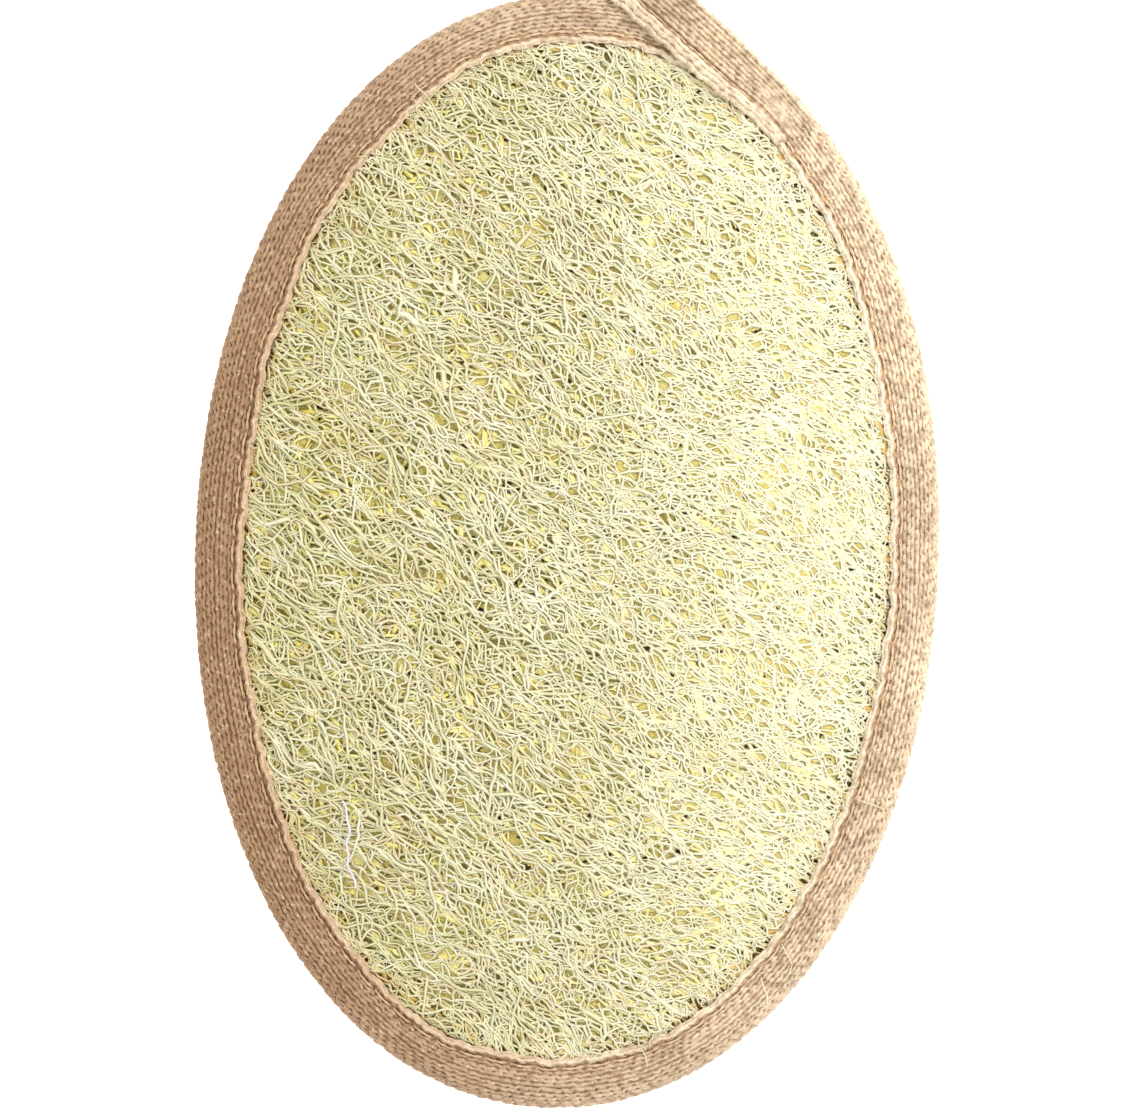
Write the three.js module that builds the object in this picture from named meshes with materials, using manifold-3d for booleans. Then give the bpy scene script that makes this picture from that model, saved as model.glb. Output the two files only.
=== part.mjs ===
// Oval loofah scrubbing pad: a pressed sheet of loofah sponge whose rim is bound with a folded
// cotton tape. The tape runs on at the top into a hanging loop. Units are millimetres, +Z is up,
// and the origin is on the resting plane under the middle of the oval, with +Y towards the loop.
import * as THREE from "three";
import { mergeVertices } from "three/addons/utils/BufferGeometryUtils.js";
import Module from "manifold-3d";

const wasm = await Module();
wasm.setup();

// Driving dimensions of the pad
const PAD_WIDTH = 120;
const PAD_LENGTH = 180;
const OUTLINE_POWER = 2.06;
const PAD_HEIGHT = 12;
const RIM_HEIGHT = 6;
const TAPE_COVER = 8.2;
const TAPE_THICK = 0.9;
const FIT_GAP = 0.3;

// Raised net of the loofah
const NET_ANGLE = THREE.MathUtils.degToRad(-36);
const NET_CELL_LONG = 4.5;
const NET_CELL_WIDE = 2.65;
const NET_JITTER = 0.22;
const FRONT_PIT_DEPTH = 2.6;
const BACK_PIT_DEPTH = 1.6;
const STRAND_UNEVEN = 0.35;
const FLAT_SPOT_RADIUS = 6.5;

// Seam, set in a groove near the open edge of the tape
const SEAM_INSET = 2;
const SEAM_GROOVE = 0.7;
const STITCH_LENGTH = 4.6;
const THREAD_RADIUS = 0.22;
const THREAD_CLEARANCE = 0.1;
const STITCH_DIP = 0.08;

// Hanging loop
const LOOP_TAPE_WIDTH = 9;
const LOOP_TAPE_THICK = 1.7;
const LOOP_REACH = 50;
const LOOP_HALF_WIDTH = 15.5;
const LEAVE_ANGLE = THREE.MathUtils.degToRad(63.5);
const TUCK_LIFT = 1.75;
const TUCK_HALF_WIDTH = 7;
const TUCK_FADE = 9;

const RIM_STEPS = 66;
const LOOP_STEPS = 42;
const RING_RADIUS = 200;
const HALF_WIDTH = PAD_WIDTH / 2;
const HALF_LENGTH = PAD_LENGTH / 2;
const RIM_MIDDLE = RIM_HEIGHT / 2;

// A repeatable random number from 0 to 1 for two whole numbers and a seed.
function scatter(i, j, seed) {
  const wave = Math.sin(i * 127.1 + j * 311.7 + seed * 74.7) * 43758.5453;
  return wave - Math.floor(wave);
}

function smoothStep(from, to, value) {
  return THREE.MathUtils.smoothstep(value, from, to);
}

// The point of the oval at a turning angle, moved inward by a distance.
function outlinePoint(angle, inward) {
  const power = 2 / OUTLINE_POWER;
  const c = Math.cos(angle);
  const s = Math.sin(angle);
  const across = Math.sign(c) * Math.abs(c) ** power;
  const along = Math.sign(s) * Math.abs(s) ** power;
  const normal = new THREE.Vector2(
    (Math.sign(c) * Math.abs(across) ** (OUTLINE_POWER - 1)) / HALF_WIDTH,
    (Math.sign(s) * Math.abs(along) ** (OUTLINE_POWER - 1)) / HALF_LENGTH,
  ).normalize();
  return new THREE.Vector2(HALF_WIDTH * across, HALF_LENGTH * along).addScaledVector(normal, -inward);
}

// How far inside the oval a point lies, from 0 at the edge to 1 in the middle.
function depthShare(x, y) {
  const size = (Math.abs(x) / HALF_WIDTH) ** OUTLINE_POWER + (Math.abs(y) / HALF_LENGTH) ** OUTLINE_POWER;
  return 1 - Math.min(1, size) ** (1 / OUTLINE_POWER);
}

// Half the height of the bound rim, from the fold of the tape to its open edge.
function rimHalfHeight(inward) {
  const fold = Math.min(1, inward / 3);
  const rounded = RIM_MIDDLE * (0.35 + 0.65 * Math.sqrt(1 - (1 - fold) ** 2));
  const off = (inward - (TAPE_COVER - SEAM_INSET)) / 0.9;
  return rounded - SEAM_GROOVE * Math.max(0, 1 - Math.abs(off));
}

// The rim is pressed up at the top of the oval, where the end of the loop lies under it.
function tuckLift(point) {
  const aside = 1 - smoothStep(TUCK_HALF_WIDTH, TUCK_HALF_WIDTH + TUCK_FADE, Math.abs(point.x));
  const outward = smoothStep(HALF_LENGTH - 22, HALF_LENGTH - 10, point.y);
  const share = Math.max(0, 1 - point.z / RIM_HEIGHT);
  point.z += TUCK_LIFT * aside * outward * share;
  return point;
}

// Turns a mesh of three.js into a solid, and a solid back into a mesh.
function solidFrom(geometry) {
  const bare = geometry.clone();
  for (const name of Object.keys(bare.attributes)) {
    if (name !== "position") bare.deleteAttribute(name);
  }
  const merged = mergeVertices(bare, 1e-4);
  const mesh = new wasm.Mesh({
    numProp: 3,
    vertProperties: new Float32Array(merged.attributes.position.array),
    triVerts: new Uint32Array(merged.index.array),
  });
  return new wasm.Manifold(mesh);
}

function geometryFrom(solid) {
  const mesh = solid.getMesh();
  const geometry = new THREE.BufferGeometry();
  geometry.setAttribute("position", new THREE.BufferAttribute(mesh.vertProperties, 3));
  geometry.setIndex(new THREE.BufferAttribute(mesh.triVerts, 1));
  geometry.computeVertexNormals();
  return geometry;
}

function movePoints(geometry, move) {
  const position = geometry.attributes.position;
  const point = new THREE.Vector3();
  for (let i = 0; i < position.count; i += 1) {
    point.fromBufferAttribute(position, i);
    move(point);
    position.setXYZ(i, point.x, point.y, point.z);
  }
  return geometry;
}

// A closed ring round the oval: its section is a list of [inward, height] points, given
// anticlockwise as seen with inward to the left.
function ovalRing(section) {
  const profile = section.map(([inward, height]) => new THREE.Vector2(RING_RADIUS - inward, height));
  profile.push(profile[0].clone());
  const ring = new THREE.LatheGeometry(profile, RIM_STEPS);
  return movePoints(ring, (point) => {
    const angle = Math.atan2(point.x, point.z);
    const inward = RING_RADIUS - Math.hypot(point.x, point.z);
    const place = outlinePoint(angle, inward);
    point.set(place.x, place.y, point.y);
    tuckLift(point);
  });
}

// The tape's section, a folded strip with a groove for the seam on both faces.
function tapeSection() {
  const seam = TAPE_COVER - SEAM_INSET;
  const outer = [0, 0.35, 1.4, 3.2, seam - 0.9, seam, seam + 0.9, TAPE_COVER];
  const inner = [TAPE_COVER, seam + 0.9, seam, seam - 0.9, 1.9];
  const top = outer.map((inward) => [inward, RIM_MIDDLE + rimHalfHeight(inward)]);
  const under = inner.map((inward) => [inward, RIM_MIDDLE + rimHalfHeight(inward) - TAPE_THICK]);
  const innerFold = [TAPE_THICK, RIM_MIDDLE];
  const half = [...top, ...under];
  const mirrored = half.map(([inward, height]) => [inward, RIM_HEIGHT - height]).reverse();
  return [...half, innerFold, ...mirrored];
}

// The loofah's edge, pressed thin between the two faces of the tape.
function pressedEdge() {
  const seam = TAPE_COVER - SEAM_INSET;
  const steps = [2.2, seam - 0.9, seam, seam + 0.9, TAPE_COVER + 2.2];
  const drop = TAPE_THICK + FIT_GAP;
  const top = steps.map((inward) => [inward, RIM_MIDDLE + rimHalfHeight(inward) - drop]);
  const mirrored = top.map(([inward, height]) => [inward, RIM_HEIGHT - height]).reverse();
  return ovalRing([[drop + 0.1, RIM_MIDDLE], ...top, ...mirrored]);
}

function crownHeight(x, y) {
  const share = depthShare(x, y);
  const edge = TAPE_COVER / HALF_WIDTH;
  const rise = Math.max(0, Math.min(1, (share - edge) / (1 - edge)));
  return RIM_HEIGHT - 0.7 + (PAD_HEIGHT - RIM_HEIGHT + 0.7) * (1 - (1 - rise) ** 2.6);
}

// A slab whose two faces are a net of crossing strands with a pit in every mesh of the net. Even
// nodes are where strands cross and odd nodes are the pits, and each quad is split from one even
// node to the other, so that the strands run as unbroken ridges.
function netSlab() {
  const reach = HALF_LENGTH + 4;
  const columns = 2 * Math.ceil(reach / NET_CELL_LONG);
  const rows = 2 * Math.ceil(reach / NET_CELL_WIDE);
  const positions = [];
  const index = [];
  const perFace = (columns + 1) * (rows + 1);
  for (const face of [0, 1]) {
    for (let j = 0; j <= rows; j += 1) {
      for (let i = 0; i <= columns; i += 1) {
        positions.push(...netNode(i, j, columns, rows, face));
      }
    }
  }
  const quad = (a, b, c, d, splitFromA) => {
    if (splitFromA) index.push(a, b, c, a, c, d);
    else index.push(a, b, d, b, c, d);
  };
  for (let j = 0; j < rows; j += 1) {
    for (let i = 0; i < columns; i += 1) {
      const a = j * (columns + 1) + i;
      const b = a + 1;
      const d = a + columns + 1;
      const c = d + 1;
      const even = (i + j) % 2 === 0;
      quad(a, b, c, d, even);
      quad(perFace + d, perFace + c, perFace + b, perFace + a, !even);
    }
  }
  for (let i = 0; i < columns; i += 1) {
    const last = rows * (columns + 1) + i;
    quad(perFace + i, perFace + i + 1, i + 1, i, true);
    quad(last, last + 1, perFace + last + 1, perFace + last, true);
  }
  for (let j = 0; j < rows; j += 1) {
    const first = j * (columns + 1);
    const next = first + columns + 1;
    quad(perFace + next, perFace + first, first, next, true);
    quad(first + columns, perFace + first + columns, perFace + next + columns, next + columns, true);
  }
  const slab = new THREE.BufferGeometry();
  slab.setAttribute("position", new THREE.Float32BufferAttribute(positions, 3));
  slab.setIndex(index);
  return slab;
}

// One node of the net. Face 0 is the front of the pad and face 1 the back, which lies on the
// surface, so the back's strands are level with it.
function netNode(i, j, columns, rows, face) {
  const along = (i - columns / 2 + NET_JITTER * 2 * (scatter(i, j, 1 + face) - 0.5)) * NET_CELL_LONG;
  const across = (j - rows / 2 + NET_JITTER * 2 * (scatter(i, j, 3 + face) - 0.5)) * NET_CELL_WIDE;
  const bend = 5 * Math.sin(along / 31 + 0.6) + 2.2 * Math.sin(along / 12 + across / 19);
  const c = Math.cos(NET_ANGLE);
  const s = Math.sin(NET_ANGLE);
  const x = along * c - (across + bend) * s;
  const y = along * s + (across + bend) * c;
  const pit = (i + j) % 2 === 1;
  const chance = scatter(i, j, 5 + face);
  const deep = chance < 0.22 ? 0.25 : 0.5 + 0.5 * chance;
  const middle = Math.hypot(x, y) < FLAT_SPOT_RADIUS;
  if (face === 0) {
    const height = crownHeight(x, y);
    const offset = pit ? -FRONT_PIT_DEPTH * deep : STRAND_UNEVEN * 2 * (scatter(i, j, 7) - 0.5);
    return [x, y, Math.min(PAD_HEIGHT, height + offset)];
  }
  const dent = pit && !middle ? BACK_PIT_DEPTH * deep : 0;
  return [x, y, dent];
}

// The net inside the bound rim, cut to the oval of the tape's open edge.
function openNet() {
  const corners = [];
  for (let k = 0; k < RIM_STEPS; k += 1) {
    corners.push(outlinePoint((k / RIM_STEPS) * 2 * Math.PI, TAPE_COVER + FIT_GAP));
  }
  const window = new THREE.ExtrudeGeometry(new THREE.Shape(corners), {
    depth: 3 * PAD_HEIGHT,
    bevelEnabled: false,
  });
  window.translate(0, 0, -PAD_HEIGHT);
  return solidFrom(netSlab()).intersect(solidFrom(window));
}

function loofahSheet() {
  return geometryFrom(openNet().add(solidFrom(pressedEdge())));
}

// The middle line of the tail of the tape: along the rim, off it in a straight line, round the
// loop and back under the rim at the top of the oval.
function tailCurve() {
  const onRim = TAPE_COVER / 2;
  const leave = outlinePoint(LEAVE_ANGLE, onRim);
  const before = outlinePoint(LEAVE_ANGLE - 0.1, onRim);
  const earlier = outlinePoint(LEAVE_ANGLE - 0.2, onRim);
  const heading = leave.clone().sub(before).normalize();
  const straight = (distance) => leave.clone().addScaledVector(heading, distance);
  const crossing = straight(18);
  const past = straight(32);
  const top = HALF_LENGTH + LOOP_REACH;
  const wide = LOOP_HALF_WIDTH;
  const edgeOn = LOOP_TAPE_WIDTH / 2 + 0.15;
  const low = LOOP_TAPE_THICK / 2 + 0.03;
  return new THREE.CatmullRomCurve3(
    [
      new THREE.Vector3(earlier.x, earlier.y, RIM_HEIGHT - 0.48),
      new THREE.Vector3(before.x, before.y, RIM_HEIGHT - 0.38),
      new THREE.Vector3(leave.x, leave.y, RIM_HEIGHT - 0.12),
      new THREE.Vector3(crossing.x, crossing.y, RIM_HEIGHT + 0.1),
      new THREE.Vector3(past.x, past.y, RIM_HEIGHT - 0.7),
      new THREE.Vector3(-0.78 * wide, top - 31, edgeOn + 0.15),
      new THREE.Vector3(-wide, top - 16, edgeOn),
      new THREE.Vector3(-0.62 * wide, top - 3.6, edgeOn),
      new THREE.Vector3(0, top, edgeOn),
      new THREE.Vector3(0.62 * wide, top - 3.6, edgeOn),
      new THREE.Vector3(wide, top - 16, edgeOn),
      new THREE.Vector3(0.72 * wide, top - 31, edgeOn - 0.2),
      new THREE.Vector3(0.3 * wide, HALF_LENGTH + 8, low + 0.95),
      new THREE.Vector3(0.05 * wide, HALF_LENGTH - 0.5, low + 0.12),
      new THREE.Vector3(-0.14 * wide, HALF_LENGTH - 6.2, low),
    ],
    false,
    "centripetal",
  );
}

// How far the tape has turned over at each control point of the tail: flat on the rim, on edge
// round the loop and face down where it comes back.
const TAIL_TURNS = [0, 0, 0, 0, -6, -58, -88, -90, -90, -90, -92, -125, -173, -180, -180];

// The tail starts narrow and thin, within the tape of the rim, and grows to its full section.
const TAIL_GROWTH = 0.14;
const TAIL_START_WIDE = 0.88;
const TAIL_START_THICK = 0.42;

// At a share of the tail: its middle, the directions across the tape and off its face, and how
// much of its full section it has there.
function tailFrame(curve, share) {
  const slots = TAIL_TURNS.length - 1;
  const slot = Math.min(slots - 1e-6, curve.getUtoTmapping(share) * slots);
  const k = Math.floor(slot);
  const blend = smoothStep(0, 1, slot - k) * 0.5 + (slot - k) * 0.5;
  const turn = THREE.MathUtils.degToRad(TAIL_TURNS[k] + (TAIL_TURNS[k + 1] - TAIL_TURNS[k]) * blend);
  const along = curve.getTangentAt(share);
  const level = new THREE.Vector3(-along.y, along.x, 0).normalize();
  const upright = along.clone().cross(level);
  const across = level.clone().multiplyScalar(Math.cos(turn)).addScaledVector(upright, Math.sin(turn));
  const grown = smoothStep(0, TAIL_GROWTH, share);
  across.multiplyScalar(TAIL_START_WIDE + (1 - TAIL_START_WIDE) * grown);
  const off = along.clone().cross(across).normalize();
  off.multiplyScalar(TAIL_START_THICK + (1 - TAIL_START_THICK) * grown);
  return { point: curve.getPointAt(share), across, off };
}

// A strip of constant section carried along the tail, with a cap at each end.
function tailStrip(section, fromShare, toShare, steps) {
  const curve = tailCurve();
  const positions = [];
  const index = [];
  const count = section.length;
  for (let k = 0; k <= steps; k += 1) {
    const frame = tailFrame(curve, fromShare + ((toShare - fromShare) * k) / steps);
    for (const [across, off] of section) {
      const corner = frame.point.clone().addScaledVector(frame.across, across).addScaledVector(frame.off, off);
      positions.push(corner.x, corner.y, corner.z);
    }
  }
  for (let k = 0; k < steps; k += 1) {
    for (let m = 0; m < count; m += 1) {
      const a = k * count + m;
      const b = k * count + ((m + 1) % count);
      index.push(a, b, a + count, b, b + count, a + count);
    }
  }
  const outline = section.map(([across, off]) => new THREE.Vector2(across, off));
  const end = steps * count;
  for (const [a, b, c] of THREE.ShapeUtils.triangulateShape(outline, [])) {
    index.push(c, b, a, end + a, end + b, end + c);
  }
  const strip = new THREE.BufferGeometry();
  strip.setAttribute("position", new THREE.Float32BufferAttribute(positions, 3));
  strip.setIndex(index);
  return strip;
}

function tailSection() {
  const half = LOOP_TAPE_WIDTH / 2;
  const thick = LOOP_TAPE_THICK / 2;
  return [
    [-half, 0],
    [-half + 0.7, -thick],
    [half, -thick],
    [half, thick],
    [-half + 0.7, thick],
  ];
}

function bindingTape() {
  const ring = solidFrom(ovalRing(tapeSection()));
  const tail = solidFrom(tailStrip(tailSection(), 0, 1, LOOP_STEPS));
  return geometryFrom(ring.add(tail));
}

// A thin thread laid round the rim in the seam's groove, dipping at every stitch.
function seamThread(onFront, fromAngle, toAngle) {
  const inward = TAPE_COVER - SEAM_INSET;
  const off = rimHalfHeight(inward) + THREAD_RADIUS + THREAD_CLEARANCE;
  const length = ((toAngle - fromAngle) / (2 * Math.PI)) * Math.PI * (HALF_WIDTH + HALF_LENGTH - 2 * inward);
  const stitches = Math.round(length / STITCH_LENGTH);
  const points = [];
  for (let k = 0; k <= 2 * stitches; k += 1) {
    const place = outlinePoint(fromAngle + ((toAngle - fromAngle) * k) / (2 * stitches), inward);
    const raised = off + (k % 2 === 1 ? STITCH_DIP : 0);
    const height = RIM_MIDDLE + (onFront ? raised : -raised);
    points.push(tuckLift(new THREE.Vector3(place.x, place.y, height)));
  }
  const section = new THREE.Shape();
  for (let m = 0; m < 3; m += 1) {
    const angle = (m * 2 * Math.PI) / 3;
    section[m ? "lineTo" : "moveTo"](THREAD_RADIUS * Math.cos(angle), THREAD_RADIUS * Math.sin(angle));
  }
  return new THREE.ExtrudeGeometry(section, {
    steps: 2 * stitches,
    bevelEnabled: false,
    extrudePath: new THREE.CatmullRomCurve3(points),
  });
}

function part(name, geometry, color, roughness) {
  const mesh = new THREE.Mesh(geometry, new THREE.MeshStandardMaterial({ color, roughness, metalness: 0 }));
  mesh.name = name;
  return mesh;
}

const loofahPad = new THREE.Group();
const degrees = THREE.MathUtils.degToRad;
loofahPad.add(part("loofah_sheet", loofahSheet(), 0xe9e6b4, 0.85));
loofahPad.add(part("binding_tape", bindingTape(), 0xc9a27e, 0.9));
loofahPad.add(part("seam_thread_front", seamThread(true, degrees(108), degrees(408)), 0xd8b892, 0.7));
loofahPad.add(part("seam_thread_back", seamThread(false, degrees(108), degrees(432)), 0xd8b892, 0.7));

export default loofahPad;
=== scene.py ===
# %% [markdown]
# # An oval loofah pad
# The object is a scrubbing pad. A loofah is the dried seed capsule of a climbing gourd, and what
# is left of it is a springy net of plant fibres. Here the net is pressed flat, cut to an oval,
# and its raw edge is bound with a folded cotton tape that runs on into a hanging loop.
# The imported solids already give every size, so this script only dresses them. It makes the net
# from thousands of single fibres, and the tape from its single yarns, because on a close view
# those are what the eye reads as loofah and as cloth.

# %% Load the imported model
import math
import random

import bmesh
import bpy
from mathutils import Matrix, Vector, geometry, noise


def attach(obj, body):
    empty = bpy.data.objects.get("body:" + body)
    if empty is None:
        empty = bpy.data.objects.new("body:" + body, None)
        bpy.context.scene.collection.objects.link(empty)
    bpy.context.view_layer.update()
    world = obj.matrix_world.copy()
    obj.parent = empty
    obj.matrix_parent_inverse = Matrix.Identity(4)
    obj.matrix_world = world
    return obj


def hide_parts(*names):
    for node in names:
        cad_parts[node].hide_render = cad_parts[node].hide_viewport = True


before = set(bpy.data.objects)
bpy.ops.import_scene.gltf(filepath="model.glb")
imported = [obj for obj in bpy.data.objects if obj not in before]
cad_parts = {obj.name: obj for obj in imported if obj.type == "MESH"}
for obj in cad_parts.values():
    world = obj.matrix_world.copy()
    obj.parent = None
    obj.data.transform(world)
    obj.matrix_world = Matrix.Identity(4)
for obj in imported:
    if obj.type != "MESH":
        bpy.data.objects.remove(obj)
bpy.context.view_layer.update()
print("packed nodes:", ", ".join(sorted(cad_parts)))

# %% [markdown]
# ## Sizes
# All measures are in millimetres, as on a pattern, and are turned into metres where a point is
# made. They repeat the sizes of the solids: the oval, the height of the bound rim and of the
# crown in the middle, and how far the tape covers the edge.

# %% Sizes of the pad
MM = 0.001
HALF_WIDTH = 60.0
HALF_LENGTH = 90.0
OUTLINE_POWER = 2.06
PAD_HEIGHT = 12.0
RIM_HEIGHT = 6.0
RIM_MIDDLE = RIM_HEIGHT / 2
TAPE_COVER = 8.2
SEAM_INSET = 2.0
STITCHES = 102
NET_UNDER_LIP = 0.7


def metres(x, y, z):
    return Vector((x * MM, y * MM, z * MM))


print("oval of", 2 * HALF_WIDTH, "by", 2 * HALF_LENGTH, "mm")

# %% [markdown]
# ## Camera
# The pad is seen from straight above and fills the frame from top to bottom, so the hanging loop
# runs out of the picture. It leans a little clockwise. Turning the camera instead of the pad
# keeps every piece in the frame of the solids. A long lens from 80 cm away keeps the oval true.

# %% Camera above the pad
LEAN = math.radians(2.2)
VIEW_WIDTH = 0.181
CAMERA_HEIGHT = 0.8
SENSOR_WIDTH = 36
SHIFT_RIGHT = -0.00097
SHIFT_UP = -0.00081
picture_right = Vector((math.cos(LEAN), math.sin(LEAN), 0))
picture_up = Vector((-math.sin(LEAN), math.cos(LEAN), 0))
view_middle = picture_right * SHIFT_RIGHT + picture_up * SHIFT_UP

camera_data = bpy.data.cameras.new("camera")
camera_data.sensor_width = SENSOR_WIDTH
camera_data.lens = SENSOR_WIDTH * CAMERA_HEIGHT / VIEW_WIDTH
camera = bpy.data.objects.new("camera", camera_data)
camera.location = view_middle + Vector((0, 0, CAMERA_HEIGHT + RIM_HEIGHT * MM))
camera.rotation_euler = (0, 0, LEAN)
bpy.context.scene.collection.objects.link(camera)
bpy.context.scene.camera = camera
print("lens of", round(camera_data.lens), "mm")

# %% [markdown]
# ## Light
# The light is bright and soft, as on a packshot table. The main lamp stands close by at the
# upper right, so the right side is nearly white and the left side falls off to a deeper tan. The
# finishes paint part of that fall-off into their colours as painted light.
# A second, smaller lamp from the same side draws the thin shadows between the fibres, and the
# pale world fills them in.


# %% Lamps and world
def soft_lamp(name, place, target, size, power, colour):
    data = bpy.data.lights.new(name, "AREA")
    data.shape = "DISK"
    data.size = size
    data.energy = power
    data.color = colour
    lamp = bpy.data.objects.new(name, data)
    lamp.location = place
    lamp.rotation_mode = "QUATERNION"
    lamp.rotation_quaternion = (Vector(target) - Vector(place)).to_track_quat("-Z", "Y")
    bpy.context.scene.collection.objects.link(lamp)


soft_lamp("main_lamp", (0.34, 0.22, 0.42), (0.01, 0.0, 0.0), 0.22, 1.58, (1.0, 0.98, 0.95))
soft_lamp("line_lamp", (0.30, 0.42, 0.52), (0.0, 0.0, 0.0), 0.05, 0.66, (1.0, 0.97, 0.93))
soft_lamp("fill_lamp", (-0.50, -0.25, 0.60), (0.0, 0.0, 0.0), 0.50, 0.9, (0.98, 0.99, 1.0))

world = bpy.data.worlds.new("studio")
world.use_nodes = True
world.node_tree.nodes["Background"].inputs["Color"].default_value = (1.0, 1.0, 1.0, 1.0)
world.node_tree.nodes["Background"].inputs["Strength"].default_value = 1.02
bpy.context.scene.world = world
bpy.context.scene.view_settings.view_transform = "Standard"
print("lamps:", len(bpy.data.lights))

# %% [markdown]
# ## A short way to write materials
# A material is a graph of nodes. Written node by node it is long and hard to read, so the class
# below wraps one output socket and gives it the signs of arithmetic: an expression such as
# `1 - mask * 0.5` then adds its Math nodes by itself. Every other kind of node comes from one
# method that takes the node's type, its settings and what goes into its sockets. Each finish can
# also ask two things of a place: how much painted light it takes, more towards the right, and how
# near the tape it lies, where painted shade goes.


# %% Sockets with arithmetic
class Wire:
    def __init__(self, finish, socket):
        self.finish = finish
        self.socket = socket

    def maths(self, operation, first, second=0.0):
        return self.finish.node("ShaderNodeMath", {"operation": operation}, {0: first, 1: second})

    def __add__(self, other):
        return self.maths("ADD", self, other)

    def __radd__(self, other):
        return self.maths("ADD", other, self)

    def __sub__(self, other):
        return self.maths("SUBTRACT", self, other)

    def __rsub__(self, other):
        return self.maths("SUBTRACT", other, self)

    def __mul__(self, other):
        return self.maths("MULTIPLY", self, other)

    def __rmul__(self, other):
        return self.maths("MULTIPLY", other, self)

    def __truediv__(self, other):
        return self.maths("DIVIDE", self, other)

    def __rtruediv__(self, other):
        return self.maths("DIVIDE", other, self)


# %% Finishes
def screen_colour(red, green, blue):
    """A colour as read off a screen, from 0 to 255, as the linear colour a shader takes."""
    parts = [v / 255 for v in (red, green, blue)]
    return tuple(v / 12.92 if v <= 0.04045 else ((v + 0.055) / 1.055) ** 2.4 for v in parts) + (1.0,)


class Finish:
    def __init__(self, name):
        self.material = bpy.data.materials.new(name)
        self.material.use_nodes = True
        self.tree = self.material.node_tree
        self.shader = self.tree.nodes["Principled BSDF"]

    def node(self, kind, settings, sockets, output=0):
        made = self.tree.nodes.new(kind)
        for key, value in settings.items():
            setattr(made, key, value)
        for key, value in sockets.items():
            if isinstance(value, Wire):
                self.tree.links.new(value.socket, made.inputs[key])
            else:
                made.inputs[key].default_value = value
        return Wire(self, made.outputs[output])

    def place(self):
        return self.node("ShaderNodeTexCoord", {}, {}, "Object")

    def cloud(self, scale, detail=2.0, roughness=0.5):
        values = {"Vector": self.place(), "Scale": scale, "Detail": detail, "Roughness": roughness}
        return self.node("ShaderNodeTexNoise", {}, values)

    def step(self, value, low, high):
        values = {"Value": value, "From Min": low, "From Max": high}
        return self.node("ShaderNodeMapRange", {"interpolation_type": "SMOOTHSTEP"}, values)

    def mix(self, share, first, second):
        return self.node("ShaderNodeMix", {"data_type": "RGBA"}, {0: share, 6: first, 7: second}, 2)

    def across_and_along(self):
        """The place in metres across the oval and along it."""
        return [self.node("ShaderNodeSeparateXYZ", {}, {0: self.place()}, n) for n in (0, 1)]

    def painted_light_share(self):
        """0 on the left and 1 on the right: how much painted light a place takes, paler towards the lamp.
        """
        across, along = self.across_and_along()
        return self.step(across + 0.12 * along, -0.07, 0.06)

    def near_lip(self):
        """0 on the open net and 1 along the lip of the tape, where the shade beside the lip is painted."""
        across, along = self.across_and_along()
        across = across / ((HALF_WIDTH - TAPE_COVER) * MM)
        along = along / ((HALF_LENGTH - TAPE_COVER) * MM)
        return self.step(across * across + along * along, 0.93, 1.0)

    def bump(self, height, distance, strength=1.0):
        values = {"Height": height, "Distance": distance, "Strength": strength}
        return self.node("ShaderNodeBump", {}, values)

    def wear(self, **sockets):
        for name, value in sockets.items():
            key = name.replace("_", " ").title()
            if isinstance(value, Wire):
                self.tree.links.new(value.socket, self.shader.inputs[key])
            else:
                self.shader.inputs[key].default_value = value
        return self.material


print("finish helper ready")

# %% [markdown]
# ## Loofah finishes
# Dry loofah is cream at the surface and turns to straw and ochre deeper in the net. One finish
# with different colours serves every layer: a slow cloud shifts it between two tones, a quick one
# adds flecks of a third, and a bump as fine as a hair stands for the fibre's own ribs. The right
# side is painted nearly white, which is painted light, and along the tape the deeper layers are
# painted ochre brown, which is painted shade beside the lip. The lying surface is faintly glossy,
# as dry straw is.


# %% Fibre finishes
# Pale colour of the painted light on the right of every finish.
PAINTED_LIGHT_PALE = screen_colour(238, 236, 213)
# Ochre brown of the painted shade beside the lip of the tape.
LIP_SHADE_OCHRE = screen_colour(190, 150, 72)


def fibre_finish(name, pale, straw, fleck, gloss, painted_light_and_wear, lip_shade):
    finish = Finish(name)
    slow = finish.step(finish.cloud(90.0, 2.0), 0.35, 0.68)
    quick = finish.step(finish.cloud(620.0, 3.0, 0.6), 0.52, 0.78)
    base = finish.mix(slow, screen_colour(*pale), screen_colour(*straw))
    flecked = finish.mix(quick * 0.45, base, screen_colour(*fleck))
    # Painted light: towards the right the colour is painted paler, nearly white.
    painted_light_right = finish.mix(finish.painted_light_share() * painted_light_and_wear, flecked, PAINTED_LIGHT_PALE)
    # Painted shade: along the lip of the tape the colour is painted ochre brown.
    colour = finish.mix(finish.near_lip() * lip_shade, painted_light_right, LIP_SHADE_OCHRE)
    ribs = finish.cloud(5200.0, 2.0, 0.7)
    roughness = 0.62 - gloss * finish.cloud(900.0)
    return finish.wear(
        base_color=colour,
        roughness=roughness,
        normal=finish.bump(ribs, 0.00006, 0.5),
    )


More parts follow.
